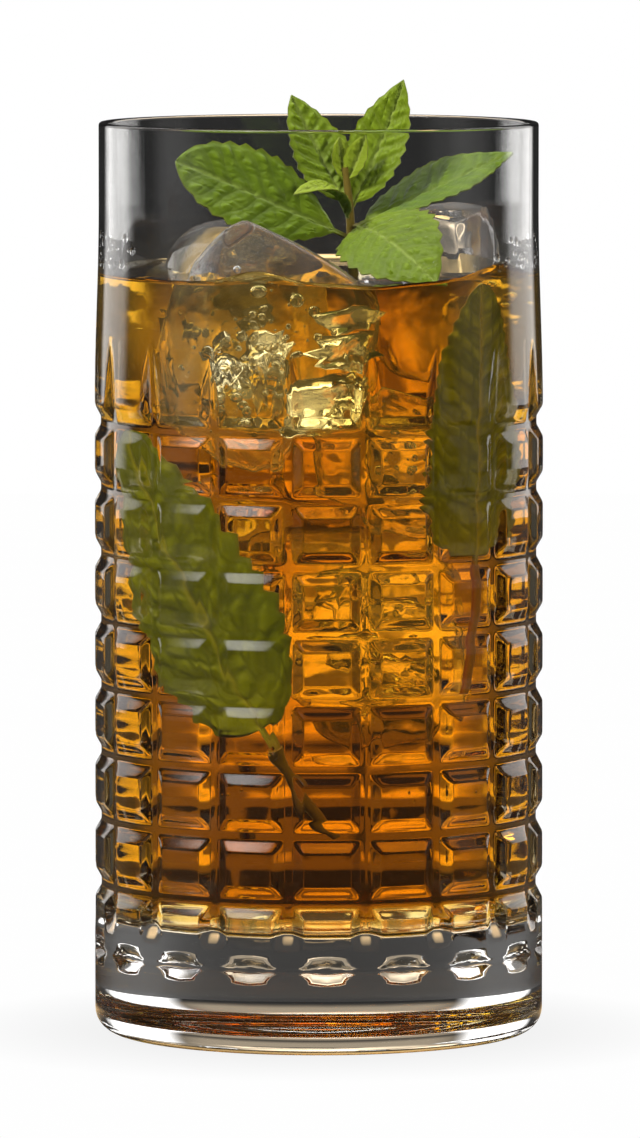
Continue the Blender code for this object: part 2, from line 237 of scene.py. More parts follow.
# the stem's own colour attributes: vein, dome, yellow, and underside, stem, rim
STEM_LOOK = (0.2, 0.5, 0.5, 1.0)
STEM_SIDE = (0.0, 0.75, 0.0, 1.0)
SPRIG_TINT = (0.88, 0.88, 0.75)
SUNK_TINTS = {"right": (1.30, 0.70, 0.12), "left": (0.98, 0.70, 0.20)}


# Numbers and meshes


def smooth(x):
    x = np.clip(x, 0.0, 1.0)
    return x * x * (3 - 2 * x)


def outer_radius(z):
    swell = smooth((SWELL_TOP - z) / (SWELL_TOP - TOP_GROOVE_Z))
    return RIM_RADIUS + (GRID_RADIUS - RIM_RADIUS) * swell


def inner_radius(z):
    share = (z - FLOOR_Z) / (GLASS_HEIGHT - FLOOR_Z)
    return INNER_FLOOR_RADIUS + (INNER_TOP_RADIUS - INNER_FLOOR_RADIUS) * share


def turns(count):
    """Even angles all round."""
    return 2 * np.pi * np.arange(count) / count


def round_axis(radius, angle, z):
    """Place by angle round the axis. 0 faces -Y, and positive angles go towards +X."""
    return radius * np.sin(angle), -radius * np.cos(angle), z


def ring(radius, z, angles):
    radius = np.broadcast_to(radius, angles.shape)
    z = np.broadcast_to(z, angles.shape)
    return np.stack(round_axis(radius, angles, z), axis=1)


def unit(vectors):
    return vectors / np.linalg.norm(vectors, axis=-1, keepdims=True)


def turned(turn):
    """Rotation matrix of a turn in degrees."""
    return Euler([math.radians(a) for a in turn]).to_matrix()


def signed_volume(points, triangles):
    a, b, c = (points[triangles[:, i]] for i in range(3))
    return float(np.einsum("ij,ij->", a, np.cross(b, c))) / 6


def facing(shell, outwards=True):
    """The closed shell with all its faces outwards, or inwards for a hollow."""
    points, triangles = shell
    if (signed_volume(points - points.mean(axis=0), triangles) > 0) != outwards:
        triangles = triangles[:, ::-1]
    return points, triangles


def merged(shells):
    offset, points, triangles = 0, [], []
    for shell_points, shell_triangles in shells:
        points.append(shell_points)
        triangles.append(shell_triangles + offset)
        offset += len(shell_points)
    return np.concatenate(points), np.concatenate(triangles)


def quads(a, b, c, d):
    """Two triangles for each quad."""
    return np.concatenate([np.stack([a, b, c], 1), np.stack([a, c, d], 1)])


def skinned(rings):
    """Closed shell through rings of equal count. A quad is split so that a mitre stays a crease."""
    count = len(rings[0])
    points = np.concatenate(rings)
    distance = np.hypot(points[:, 0], points[:, 1])
    i, j = np.meshgrid(np.arange(len(rings) - 1), np.arange(count), indexing="ij")
    a = (i * count + j).ravel()
    b = (i * count + (j + 1) % count).ravel()
    c, d = b + count, a + count
    on_ac = np.abs(distance[a] - distance[c]) > np.abs(distance[b] - distance[d])
    first = np.where(on_ac[:, None], np.stack([a, b, c], 1), np.stack([a, b, d], 1))
    second = np.where(on_ac[:, None], np.stack([a, c, d], 1), np.stack([b, c, d], 1))
    ends = [rings[0].mean(axis=0), rings[-1].mean(axis=0)]
    tip, last = len(points), (len(rings) - 1) * count
    j = np.arange(count)
    around = (j + 1) % count
    fan_first = np.stack([around, j, np.full(count, tip)], 1)
    fan_last = np.stack([last + j, last + around, np.full(count, tip + 1)], 1)
    return np.concatenate([points, ends]), np.concatenate([first, second, fan_first, fan_last])


def mesh_object(name, shell, surface, sharp_degrees=None):
    points, triangles = shell
    mesh = bpy.data.meshes.new(name)
    mesh.from_pydata(points.tolist(), [], triangles.tolist())
    mesh.update()
    mesh.shade_smooth()
    if sharp_degrees is not None:
        mesh.set_sharp_from_angle(angle=math.radians(sharp_degrees))
    mesh.materials.append(surface)
    obj = bpy.data.objects.new(name, mesh)
    bpy.context.scene.collection.objects.link(obj)
    return obj


def ball(centre, radius, rings=8, sides=14, squash=(1, 1, 1)):
    """A small closed sphere or spheroid as a shell."""
    middle = np.array(centre)
    loops = []
    for level in np.pi * np.arange(1, rings) / rings:
        loop = ring(math.sin(level), math.cos(level), turns(sides))
        loops.append(loop * radius * np.array(squash) + middle)
    points, triangles = skinned(loops)
    points[-2] = middle + np.array([0, 0, radius * squash[2]])
    points[-1] = middle - np.array([0, 0, radius * squash[2]])
    return points, triangles


def cell_noise(x, y, seed):
    """Distance to the nearest and to the second nearest scattered point, in cells of size 1."""
    near = np.full(x.shape, 9.0)
    second = np.full(x.shape, 9.0)
    column, row = np.floor(x), np.floor(y)
    for dx in (-1, 0, 1):
        for dy in (-1, 0, 1):
            cx, cy = column + dx, row + dy
            code = cx * 127.1 + cy * 311.7 + seed * 74.7
            px = cx + 0.5 + 0.42 * np.sin(code * 1.31)
            py = cy + 0.5 + 0.42 * np.sin(code * 2.17 + 1.3)
            distance = np.hypot(x - px, y - py)
            second = np.minimum(second, np.maximum(distance, near))
            near = np.minimum(near, distance)
    return near, second


def wavy(points, scale, seed):
    """Smooth pseudo-random value between -1 and 1 at each point."""
    draw = random.Random(seed)
    total = np.zeros(len(points))
    count = 7
    for _ in range(count):
        direction = np.array([draw.uniform(-1, 1) for _ in range(3)])
        total += np.sin(points @ direction * scale + draw.uniform(0, 6.28))
    return total / count


# Materials


def new_surface(name):
    made = bpy.data.materials.new(name)
    made.use_nodes = True
    made.node_tree.nodes.clear()
    return made, made.node_tree


def node(tree, kind, inputs=None, **settings):
    made = tree.nodes.new("ShaderNode" + kind)
    for key, value in settings.items():
        setattr(made, key, value)
    for key, value in (inputs or {}).items():
        if isinstance(value, bpy.types.NodeSocket):
            tree.links.new(value, made.inputs[key])
        else:
            made.inputs[key].default_value = value
    return made


def maths(tree, operation, first, second=0.0):
    return node(tree, "Math", {0: first, 1: second}, operation=operation).outputs[0]


def product(tree, first, *others):
    for value in others:
        first = maths(tree, "MULTIPLY", first, value)
    return first


def fade(tree, value, start, end):
    """0 at start to 1 at end, eased."""
    made = node(tree, "MapRange", {
        "Value": value, "From Min": start, "From Max": end, "To Min": 0.0, "To Max": 1.0,
    }, interpolation_type="SMOOTHSTEP")
    return made.outputs["Result"]


def mixed(tree, share, first, second):
    """Shader that goes from first to second with share."""
    shaders = {0: share, 1: first.outputs[0], 2: second.outputs[0]}
    return node(tree, "MixShader", shaders)


def ray(tree, kind):
    return node(tree, "LightPath").outputs[kind]


def noise_value(tree, scale, detail=2.0, stretch=(1, 1, 1)):
    place = node(tree, "TexCoord").outputs["Object"]
    mapped = node(tree, "Mapping", {"Vector": place, "Scale": stretch}).outputs["Vector"]
    made = node(tree, "TexNoise", {"Vector": mapped, "Scale": scale, "Detail": detail})
    return made.outputs["Fac"]


def ranged(tree, value, low, high, start=0.3, end=0.7):
    made = node(tree, "MapRange", {
        "Value": value, "From Min": start, "From Max": end, "To Min": low, "To Max": high,
    })
    return made.outputs["Result"]


def clear_surface(name, ior, colour, roughness, ripple_scale, ripple, fine_scale,
                  absorb=None, milk=None):
    """Clear glass, ice or liquid, rippled, with lamps let through.

    roughness and milk are ranges, and absorb is (colour, density).
    """
    made, tree = new_surface(name)
    wear = ranged(tree, noise_value(tree, fine_scale, 1.5), *roughness)
    waves = noise_value(tree, ripple_scale, 2.0)
    bump = node(tree, "Bump", {"Height": waves, "Strength": 1.0, "Distance": ripple})
    shader = node(tree, "BsdfPrincipled", {
        "Base Color": (*colour, 1), "Roughness": wear, "IOR": ior,
        "Transmission Weight": 1.0, "Normal": bump.outputs["Normal"],
    })
    if milk:
        cloud = node(tree, "BsdfDiffuse", {"Color": MILK_COLOUR})
        shader = mixed(tree, ranged(tree, noise_value(tree, MILK_SCALE), *milk), shader, cloud)
    through = node(tree, "BsdfTransparent", {"Color": WHITE})
    mix = mixed(tree, ray(tree, "Is Shadow Ray"), shader, through)
    out = node(tree, "OutputMaterial", {"Surface": mix.outputs[0]})
    if absorb:
        volume = node(tree, "VolumeAbsorption", {
            "Color": (*absorb[0], 1), "Density": absorb[1],
        })
        tree.links.new(volume.outputs[0], out.inputs["Volume"])
    return made


def mint_surface(name, tint):
    """Leaf: veins, blisters and tone come from the mesh's own colour attributes, and the troughs
    between the blisters get painted shade.
    """
    made, tree = new_surface(name)
    look = node(tree, "Attribute", attribute_name="look")
    part = node(tree, "SeparateColor", {"Color": look.outputs["Color"]})
    vein, dome, yellow = part.outputs
    side = node(tree, "Attribute", attribute_name="side")
    where = node(tree, "SeparateColor", {"Color": side.outputs["Color"]})
    under, stem, rim = where.outputs

    def blend(amount, first, second):
        made = node(tree, "Mix", {0: amount}, data_type="RGBA")
        for place, value in ((6, first), (7, second)):
            if isinstance(value, bpy.types.NodeSocket):
                tree.links.new(value, made.inputs[place])
            else:
                made.inputs[place].default_value = (*[v * t for v, t in zip(value, tint)], 1)
        return made.outputs[2]

    mottle = noise_value(tree, 260.0, 5.0)
    patch = ranged(tree, noise_value(tree, 90.0, 3.0), 0.0, 1.0)
    # painted shade: where dome is low, between the blisters, the green turns much darker
    green = blend(dome, LEAF_TROUGH_SHADE, LEAF_DOME)
    green = blend(ranged(tree, mottle, 0.0, 0.45), green, LEAF_MOTTLE)
    green = blend(ranged(tree, patch, 0.0, 0.3, 0.0, 1.0), green, LEAF_PATCH)
    green = blend(yellow, green, LEAF_YOUNG)
    pale = blend(yellow, VEIN_OLD, VEIN_YOUNG)
    green = blend(ranged(tree, vein, 0.0, 0.75, 0.0, 1.0), green, pale)
    green = blend(ranged(tree, under, 0.0, 0.6, 0.0, 1.0), green, LEAF_UNDER)
    green = blend(rim, green, LEAF_RIM)
    colour = blend(stem, green, STEM_BROWN)
    rough = ranged(tree, noise_value(tree, 700.0, 3.0), 0.34, 0.56)
    fine = noise_value(tree, 900.0, 6.0)
    bump = node(tree, "Bump", {"Height": fine, "Strength": 0.7, "Distance": 0.00018})
    shader = node(tree, "BsdfPrincipled", {
        "Base Color": colour, "Roughness": rough, "Specular IOR Level": 0.35,
        "Sheen Weight": 0.12, "Sheen Roughness": 0.4, "Normal": bump.outputs["Normal"],
    })
    glow = node(tree, "BsdfTranslucent", {
        "Color": blend(0.5, colour, LEAF_GLOW), "Normal": bump.outputs["Normal"],
    })
    mix = mixed(tree, GLOW_SHARE, shader, glow)
    node(tree, "OutputMaterial", {"Surface": mix.outputs[0]})
    return made


# Camera


def make_camera():
    data = bpy.data.cameras.new("camera")
    data.lens = CAMERA_LENS
    data.sensor_width = CAMERA_SENSOR
    data.shift_x = CAMERA_SHIFT
    data.clip_end = 100.0
    camera = bpy.data.objects.new("camera", data)
    camera.location = CAMERA_PLACE
    camera.rotation_euler = (math.pi / 2 - CAMERA_DIP, 0, 0)
    bpy.context.scene.collection.objects.link(camera)
    bpy.context.scene.camera = camera


# Studio

# a softbox far away: on the camera's side or behind, its middle and half sizes in degrees
Patch = namedtuple(
    "Patch", "front azimuth half_width side_soft height half_height top_soft radiance"
)
PATCHES = (
    Patch(False, -45.5, 15.5, 4.0, 20.0, 46.0, 8.0, 1.9),
    Patch(False, 45.5, 15.5, 4.0, 20.0, 46.0, 8.0, 1.9),
    Patch(True, -62.0, 27.0, 14.0, 56.0, 18.0, 8.0, 5.5),
    Patch(True, -78.0, 14.0, 9.0, 12.0, 30.0, 10.0, 0.25),
    Patch(True, 88.0, 12.0, 9.0, 15.0, 28.0, 9.0, 0.25),
    Patch(True, 0.0, 200.0, 5.0, 90.0, 19.0, 7.0, 3.0),
)
STUDIO_TINT = (1.0, 0.985, 0.97, 1)
STUDIO_GLOW = (0.016, 0.10, -10.0, 70.0)  # radiance of the dark, from and to a height in degrees

# area lights, aimed at LIGHT_AIM: place, width, power
LIGHT_AIM = (0, 0, 0.10)
LIGHTS = {
    "key_left": ((-1.0, -0.45, 1.2), 0.26, 30),
    "back_top": ((0.35, 0.75, 0.95), 0.4, 14),
    "fill_right": ((1.0, -1.1, 0.45), 0.5, 16),
}

FLOOR_RADIUS = 1.2
FLOOR_SIDES = 96
FLOOR_DROP = -0.00005
FLOOR_DARK = (0.014, 0.0135, 0.013, 1)
FLOOR_GRAIN = (0.997, 1.0)
# painted shadow of the glass on the floor: how light, from and to which distance from the axis
FLOOR_SHADE = (0.88, 0.995, 0.034, 0.066)
# painted pool of amber light: an emission on the floor behind the drink, standing for the light the
# drink throws there, between two soft circles
THROWN_LIGHT = 0.9
THROWN_TINT = (1.0, 0.68, 0.33, 1)
THROWN_INNER = (0.034, 0.038)
THROWN_OUTER = (0.050, 0.060)
THROWN_BROKEN = (0.2, 1.0, 0.40, 0.60)  # its patches: how bright, by noise from and to
THROWN_BACK = 0.02  # it reaches its full strength this far behind the glass's middle

# Reflector card behind the drink
CARD_BACK = 0.115
CARD_HALF = 0.044
CARD_SIDE_FADE = 0.022
CARD_TOP = 0.119
CARD_TOP_FADE = 0.012
CARD_FOOT = 0.005
CARD_FOOT_FADE = 0.012
CARD_TINT = (1.0, 0.80, 0.55, 1)
# the card's radiance, at its two heights
CARD_GLOW = (0.36, 0.42)
CARD_GLOW_Z = (0.030, 0.075)
CARD_CORE = 0.003  # a spot is at its brightest within this distance
# brighter spots on the card: place, reach, radiance
CARD_SPOTS = (
    ((-0.004, CARD_BACK, 0.106), 0.016, 1.4),
    ((-0.005, CARD_BACK, 0.056), 0.028, 2.0),
)


def soft_patch(tree, patch, azimuth, height):
    """Light of one softbox seen from the glass, as a socket: its radiance fades at its edges."""
    shares = []
    for angle, middle, half, soft in (
        (azimuth, patch.azimuth, patch.half_width, patch.side_soft),
        (height, patch.height, patch.half_height, patch.top_soft),
    ):
        away = maths(tree, "ABSOLUTE", maths(tree, "SUBTRACT", angle, middle))
        shares.append(fade(tree, away, half + soft, half - soft))
    return product(tree, *shares, patch.radiance)


def make_world():
    """White to the camera. What the glass reflects and bends is a dark studio with softboxes."""
    world = bpy.data.worlds.new("studio")
    world.use_nodes = True
    tree = world.node_tree
    tree.nodes.clear()
    direction = node(tree, "TexCoord").outputs["Generated"]
    part = node(tree, "SeparateXYZ", {"Vector": direction})
    x, y, z = part.outputs
    minus_y = maths(tree, "MULTIPLY", y, -1.0)
    front = maths(tree, "DEGREES", maths(tree, "ARCTAN2", x, minus_y))
    back = maths(tree, "DEGREES", maths(tree, "ARCTAN2", x, y))
    height = maths(tree, "DEGREES", maths(tree, "ARCSINE", z))
    total = ranged(tree, height, *STUDIO_GLOW)
    for patch in PATCHES:
        light = soft_patch(tree, patch, front if patch.front else back, height)
        total = maths(tree, "ADD", total, light)
    dark = node(tree, "Background", {"Color": STUDIO_TINT, "Strength": total})
    white = node(tree, "Background", {"Color": WHITE, "Strength": 1.0})
    mix = mixed(tree, ray(tree, "Is Camera Ray"), dark, white)
    node(tree, "OutputWorld", {"Surface": mix.outputs[0]})
    bpy.context.scene.world = world


def studio_sheet(name, corners, surface):
    """A flat sheet of the studio, which is no piece of the drink."""
    mesh = bpy.data.meshes.new(name)
    mesh.from_pydata(corners, [], [list(range(len(corners)))])
    mesh.materials.append(surface)
    sheet = bpy.data.objects.new(name, mesh)
    bpy.context.scene.collection.objects.link(sheet)
    return sheet


def make_floor():
    """Pale disc. It looks near white from the camera, with a painted shadow round the glass's foot,
    and stays dark where the glass shows it, but for a painted pool of amber light behind the drink.
    """
    made, tree = new_surface("pale_floor")
    place = node(tree, "TexCoord").outputs["Object"]
    far = node(tree, "VectorMath", {0: place}, operation="LENGTH").outputs["Value"]
    # painted shadow: the floor's emission is dimmer near the glass's foot
    shade = ranged(tree, far, *FLOOR_SHADE)
    grain = ranged(tree, noise_value(tree, 40.0, 4.0), *FLOOR_GRAIN)
    pale = product(tree, shade, grain)
    seen = node(tree, "Emission", {"Color": WHITE, "Strength": pale})
    behind = node(tree, "SeparateXYZ", {"Vector": place}).outputs[1]
    inner = ranged(tree, far, 0.0, 1.0, *THROWN_INNER)
    outer = ranged(tree, far, 1.0, 0.0, *THROWN_OUTER)
    broken = ranged(tree, noise_value(tree, 30.0, 1.0), *THROWN_BROKEN)
    back_half = ranged(tree, behind, 0.0, THROWN_LIGHT, 0.0, THROWN_BACK)
    # painted light: the amber glow behind the glass is emission on the floor's dark side
    dark = node(tree, "BsdfPrincipled", {
        "Base Color": FLOOR_DARK, "Roughness": 0.6, "Specular IOR Level": 0.1,
        "Emission Color": THROWN_TINT,
        "Emission Strength": product(tree, inner, outer, broken, back_half),
    })
    mix = mixed(tree, ray(tree, "Is Camera Ray"), dark, seen)
    node(tree, "OutputMaterial", {"Surface": mix.outputs[0]})
    corners = ring(FLOOR_RADIUS, FLOOR_DROP, turns(FLOOR_SIDES)).tolist()
    floor = studio_sheet("floor", corners, made)


def make_card():
    """A reflector close behind the drink, seen only through the glass, so that the drink glows."""
    made, tree = new_surface("reflector_card")
    place = node(tree, "TexCoord").outputs["Object"]
    part = node(tree, "SeparateXYZ", {"Vector": place})
    x, _, z = part.outputs
    shape = product(
        tree,
        fade(tree, maths(tree, "ABSOLUTE", x), CARD_HALF, CARD_HALF - CARD_SIDE_FADE),
        fade(tree, z, CARD_TOP, CARD_TOP - CARD_TOP_FADE),
        fade(tree, z, CARD_FOOT, CARD_FOOT + CARD_FOOT_FADE),
    )
    level = ranged(tree, z, *CARD_GLOW, *CARD_GLOW_Z)
    for spot, reach, radiance in CARD_SPOTS:
        away = node(tree, "VectorMath", {0: place, 1: spot}, operation="DISTANCE")
        bright = fade(tree, away.outputs["Value"], reach, CARD_CORE)
        level = maths(tree, "ADD", level, product(tree, bright, radiance))
    strength = product(tree, shape, level)
    shine = node(tree, "Emission", {"Color": CARD_TINT, "Strength": strength})
    clear = node(tree, "BsdfTransparent")
    add = node(tree, "AddShader", {0: shine.outputs[0], 1: clear.outputs[0]})
    mix = mixed(tree, ray(tree, "Is Camera Ray"), add, clear)
    node(tree, "OutputMaterial", {"Surface": mix.outputs[0]})
    low = [(side * CARD_HALF, CARD_BACK, CARD_FOOT) for side in (-1, 1)]
    high = [(side * CARD_HALF, CARD_BACK, CARD_TOP) for side in (1, -1)]
    card = studio_sheet("reflector_card", low + high, made)


def make_lights():
    """Soft key from the upper left. The glass shows the softboxes of the world in its place."""
    for name, (place, width, power) in LIGHTS.items():
        data = bpy.data.lights.new(name, "AREA")
        data.shape = "RECTANGLE"
        data.size = data.size_y = width
        data.energy = power
        light = bpy.data.objects.new(name, data)
        light.location = place
        aim = Vector(LIGHT_AIM) - Vector(place)
        light.rotation_euler = aim.to_track_quat("-Z", "Y").to_euler()
        light.visible_camera = False
        light.visible_glossy = False
        light.visible_transmission = False
        bpy.context.scene.collection.objects.link(light)


# Glass


def knee(d, at):
    """d - at past the knee, rounded within EDGE_SOFT of it."""
    near = np.clip(d - at + EDGE_SOFT, 0, 2 * EDGE_SOFT)
    return np.where(d > at + EDGE_SOFT, d - at, near * near / (4 * EDGE_SOFT))


def bevel_height(d):
    """0 in a groove to 1 on a facet's flat top, by distance from the groove's centre line."""
    return (knee(d, GROOVE_HALF) - knee(d, GROOVE_HALF + BEVEL_WIDTH)) / BEVEL_WIDTH


def mitred(a, b):
    h = np.clip(MITRE_SOFT - np.abs(a - b), 0, None) / MITRE_SOFT
    return np.minimum(a, b) - h * h * MITRE_SOFT / 4


def wall_angles():
    """(angle, distance from the nearest upright groove's centre line) all round."""
    half = math.pi / COLUMNS
    offsets = [d / GRID_RADIUS for d in GROOVE_LINES]
    one = [-half + o for o in offsets] + [-0.0] + [half - o for o in offsets[:0:-1]]
    one = np.array(one)
    angles = np.concatenate([GRID_TURN + 2 * half * c + one for c in range(COLUMNS)])
    return angles, np.tile((half - np.abs(one)) * GRID_RADIUS, COLUMNS)


def wall_heights():
    """Heights of the outside's rings, from the lip down. They are close at the grooves."""
    levels = []
    for row in range(ROWS + 1):
        groove = TOP_GROOVE_Z - row * ROW_PITCH
        levels += [groove + d for d in GROOVE_LINES] + [groove - d for d in GROOVE_LINES[1:]]
        if row < ROWS:
            levels.append(groove - ROW_PITCH / 2)
    top = max(levels)
    levels += list(np.arange(top + FADE_STEP, FADE_TOP + 1.5 * FADE_STEP, FADE_STEP))
    lip = GLASS_HEIGHT - LIP_WALL / 2
    levels += [*np.linspace(PLAIN_Z, lip - LIP_MARGIN, PLAIN_RINGS), lip - LIP_STEP, lip]
    levels += list(np.linspace(min(levels) - HEEL_STEP, FOOT_FILLET, HEEL_RINGS))
    return sorted(set(round(z, 6) for z in levels), reverse=True)


def wall_depth(z, to_upright):
    """How deep the pattern is cut at height z, 0 to 1, for each distance to an upright groove."""
    rows = TOP_GROOVE_Z - ROW_PITCH * np.arange(ROWS + 1)
    to_level = np.min(np.abs(rows - z))
    if z < FOOT_GROOVE_Z + ROW_PITCH / 2:
        lens = smooth((to_upright - OVAL_GAP) / OVAL_END)
        oval = 1 - bevel_height(OVAL_SQUASH * to_level + (1 - lens) * (GROOVE_HALF + BEVEL_WIDTH))
        lower = float(smooth((z - FOOT_GROOVE_Z - UPRIGHT_END) / UPRIGHT_RUN_OUT))
        return np.maximum(oval, lower * (1 - bevel_height(to_upright)))
    left = min(max((FADE_TOP - z) / (FADE_TOP - FADE_FULL), 0.0), 1.0)
    spread = RUN_OUT_WIDTH + (1 - RUN_OUT_WIDTH) * left
    reach = mitred(to_upright / spread, np.full_like(to_upright, to_level))
    return left * (1 - bevel_height(reach))


def inside_profile(steps, grow=0.0):
    """(radius, height) of the inside of the glass from the floor's middle up to the lip."""
    fillet_top = inner_radius(FLOOR_Z + FLOOR_FILLET)
    flat = fillet_top - FLOOR_FILLET
    profile = [(r, FLOOR_Z - grow) for r in np.linspace(AXIS_RADIUS, flat, 10)[:-1]]
    for a in np.linspace(0, math.pi / 2, 12):
        reach = FLOOR_FILLET + grow
        profile.append((flat + reach * math.sin(a), FLOOR_Z + FLOOR_FILLET - reach * math.cos(a)))
    for z in steps:
        profile.append((inner_radius(z) + grow, z))
    return profile


def make_glass():
    angles, to_upright = wall_angles()
    lip = LIP_WALL / 2
    top = GLASS_HEIGHT - lip
    steps = [*np.linspace(INNER_WALL_Z, top - LIP_MARGIN, INNER_RINGS), top - LIP_STEP, top]
    profile = inside_profile(steps)
    for a in np.linspace(0, math.pi, 9)[1:-1]:
        profile.append((RIM_RADIUS - lip - lip * math.cos(a), top + lip * math.sin(a)))
    for z in wall_heights():
        profile.append((outer_radius(z) - GROOVE_DEPTH * wall_depth(z, to_upright), z))
    for a in np.linspace(0, math.pi / 2, 9)[1:]:
        radius = GRID_RADIUS - FOOT_FILLET * (1 - math.cos(a))
        profile.append((radius, FOOT_FILLET * (1 - math.sin(a))))
    heel = GRID_RADIUS - FOOT_FILLET
    profile += [(r, 0.0) for r in np.linspace(heel, AXIS_RADIUS, 8)[1:]]
    rings = [ring(r, z, angles) for r, z in profile]
    surface = clear_surface(
        "clear_glass", ior=1.5, colour=(0.985, 0.99, 0.99), roughness=(0.0, 0.02),
        ripple_scale=70.0, ripple=0.00003, fine_scale=300.0,
    )
    glass = mesh_object("pressed_glass", facing(skinned(rings)), surface)
    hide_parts("glass")
    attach(glass, "root")


# Ice


def ice_planes(half_sizes, seed):
    """Flat sides of a half-melted block, as (direction, distance from the middle)."""
    draw = random.Random(seed)
    planes = []
    for axis in range(3):
        for sign in (-1, 1):
            normal = Vector([draw.uniform(-ICE_SLANT, ICE_SLANT) for _ in range(3)])
            normal[axis] = sign
            planes.append((normal.normalized(), half_sizes[axis]))
    for _ in range(ICE_CHAMFERS):
        normal = Vector([draw.choice((-1, 1)) * draw.uniform(0.35, 1.0) for _ in range(3)])
        normal.normalize()
        reach = sum(abs(n) * h for n, h in zip(normal, half_sizes))
        planes.append((normal, reach * draw.uniform(*ICE_CHAMFER_REACH)))
    return np.array([n for n, _ in planes]), np.array([d for _, d in planes])


def ice_radius(directions, planes, sharpness=ICE_SHARPNESS):
    normals, distances = planes
    share = np.maximum(directions @ normals.T, 0.0) / distances
    return (share**sharpness).sum(axis=1) ** (-1 / sharpness)


def cube_shell(cells):
    """Closed surface of a cube from -1 to 1, in a grid, with shared edges."""
    index, points, triangles = {}, [], []

    def point(key):
        if key not in index:
            index[key] = len(points)
            points.append([2 * k / cells - 1 for k in key])
        return index[key]

    for axis in range(3):
        for side in (0, cells):
            for i in range(cells):
                for j in range(cells):
                    corners = []
                    for u, v in ((i, j), (i + 1, j), (i + 1, j + 1), (i, j + 1)):
                        key = [0, 0, 0]
                        key[axis], key[(axis + 1) % 3], key[(axis + 2) % 3] = side, u, v
                        corners.append(point(tuple(key)))
                    if side == 0:
                        corners.reverse()
                    a, b, c, d = corners
                    triangles += [(a, b, c), (a, c, d)]
    return np.array(points), np.array(triangles)


def melted_block(block, cells, grow=0.0):
    """A block with scooped facets and ripples, on the same form as the solid."""
    centre, half_sizes, turn, seed = block
    points, triangles = cube_shell(cells)
    directions = unit(np.tan(points * np.pi / 4) * np.array(half_sizes))
    planes = ice_planes(half_sizes, seed)
    radius = ice_radius(directions, planes)
    draw = random.Random(seed + 100)
    normals = unit(np.array([[draw.gauss(0, 1) for _ in range(3)] for _ in range(ICE_FACETS)]))
    reach = ice_radius(normals, planes) * [draw.uniform(*ICE_FACET_REACH) for _ in normals]
    facets = ice_radius(directions, (normals, reach), FACET_SHARPNESS)
    radius = np.where(facets < radius, radius - (radius - facets) * ICE_SCOOP, radius)
    for number, (depth, fineness) in enumerate(ICE_WAVES):
        radius += max(half_sizes) * depth * wavy(directions, fineness, seed + number)
    rotation = np.array(turned(turn))
    places = np.array(centre) + (directions * (radius + grow)[:, None]) @ rotation.T
    room = inner_radius(places[:, 2]) - (ICE_WALL_GAP - grow)
    pull = np.minimum(1.0, room / np.hypot(places[:, 0], places[:, 1]))
    places[:, :2] *= pull[:, None]
    return facing((places, triangles))


def crack(centre, normal, size, thickness, seed):
    """A thin lens of air with a ragged outline: a crack inside the ice."""
    draw = random.Random(seed)
    sides, loops = 18, 4
    normal = Vector(normal).normalized()
    u = normal.orthogonal().normalized()
    v = normal.cross(u)
    basis = np.array([u, v, normal])
    ragged = [1 + 0.35 * draw.uniform(-1, 1) for _ in range(sides)]
    rings = []
    for a in np.linspace(0, math.pi, 2 * loops + 1)[1:-1]:
        local = ring(math.sin(a), 0.0, turns(sides)) * np.array(ragged)[:, None] * size
        bend = 0.12 * size * np.sin(local[:, 0] / size * 3.1) * np.cos(local[:, 1] / size * 2.3)
        local[:, 2] = thickness * math.cos(a) + bend
        rings.append(local @ basis + np.array(centre))
    return skinned(rings)


def ice_insides(block, bubbles, cracks, seed):
    """Bubbles and cracks well inside a block, as hollows."""
    centre, half_sizes, turn, _ = block
    draw = random.Random(seed)
    rotation = turned(turn)
    hollows = []
    for _ in range(bubbles):
        shares = [draw.gauss(0, BUBBLE_SPREAD) for _ in half_sizes]
        shares = [max(min(s, BUBBLE_LIMIT), -BUBBLE_LIMIT) for s in shares]
        spot = Vector([s * h for s, h in zip(shares, half_sizes)])
        radius = BUBBLE_RADIUS[0] + BUBBLE_RADIUS[1] * draw.random() ** BUBBLE_RARITY
        hollows.append(facing(ball(Vector(centre) + rotation @ spot, radius), False))
    for number in range(cracks):
        spot = Vector([draw.uniform(-CRACK_LIMIT, CRACK_LIMIT) * h for h in half_sizes])
        normal = [draw.gauss(0, 1) for _ in range(3)]
        size = draw.uniform(*CRACK_SIZE) * min(half_sizes)
        lens = crack(Vector(centre) + rotation @ spot, normal, size, CRACK_THICK, seed + number)
        hollows.append(facing(lens, False))
    return hollows


# how many bubbles and cracks each block has, and the seeds for them
ICE_INSIDES = {"ice_front_left": (95, 9), "ice_back_right": (22, 3), "ice_back_left": (22, 3)}
SUNK_INSIDES = (14, 3)
INSIDES_SEED, SUNK_SEED, SEED_STEP = 70, 150, 20
# a bubble's or a crack's place and a crack's size are shares of the block's half sizes
BUBBLE_SPREAD = 0.27
BUBBLE_LIMIT = 0.62
BUBBLE_RADIUS = (0.00018, 0.0008)  # the least, and how far the rare large ones go past it
BUBBLE_RARITY = 3.5
CRACK_LIMIT = 0.4
CRACK_SIZE = (0.168, 0.360)
CRACK_THICK = 0.00022
BRIGHT_THICK = 0.0003
# large bubbles of the front block: across, height, radius
ICE_BEADS = (
    (-0.0088, 0.1249, 0.0013), (-0.0032, 0.1235, 0.00115), (-0.0096, 0.1211, 0.0006),
    (-0.0065, 0.1161, 0.0007), (-0.0167, 0.1150, 0.0011), (-0.0086, 0.1158, 0.0009),
    (-0.0122, 0.1076, 0.0010), (-0.0110, 0.1062, 0.0008), (-0.0147, 0.1064, 0.0006),
    (-0.0044, 0.1191, 0.0005), (-0.0001, 0.1174, 0.0007), (0.0022, 0.1183, 0.0006),
    (-0.0068, 0.1117, 0.0007), (-0.0029, 0.1146, 0.0006), (-0.0079, 0.1081, 0.0005),
    (-0.0052, 0.1092, 0.00055), (-0.0136, 0.1170, 0.0005), (-0.0120, 0.1125, 0.0006),
)
BEAD_DEPTH = -0.0225
